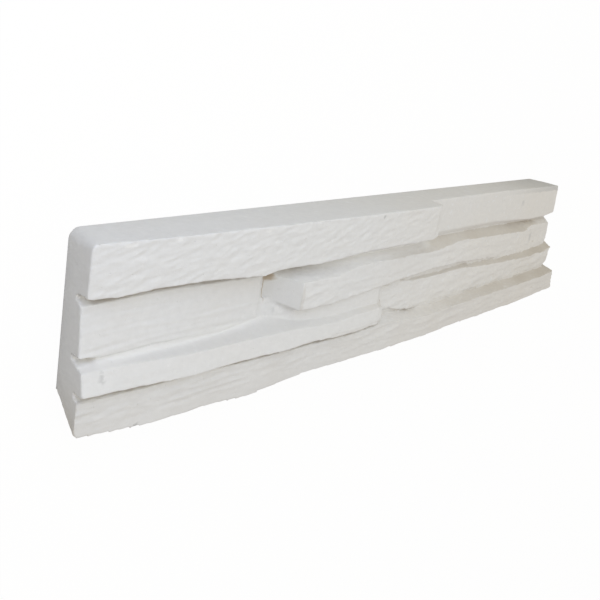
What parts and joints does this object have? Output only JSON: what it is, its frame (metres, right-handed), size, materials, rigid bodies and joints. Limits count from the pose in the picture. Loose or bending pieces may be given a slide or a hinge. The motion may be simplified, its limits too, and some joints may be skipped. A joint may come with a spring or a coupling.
{
  "type": "stone cladding tile",
  "caption": "Cast split-stone wall tile: staggered rough courses with deep joints between them, on a flat back that is glued to a wall.",
  "frame": {"origin": "centre of the bounding box in plan, on the plane of the flat back", "axes": "+X along the courses, +Y up the wall (square to the courses), +Z out of the back, towards the rough face"},
  "size_m": [0.5142, 0.106, 0.0433],
  "materials": {
    "cladding_tile": "matte white cast gypsum"
  },
  "bodies": {
    "root": {"cladding_tile": "cladding_tile"}
  },
  "joints": []
}
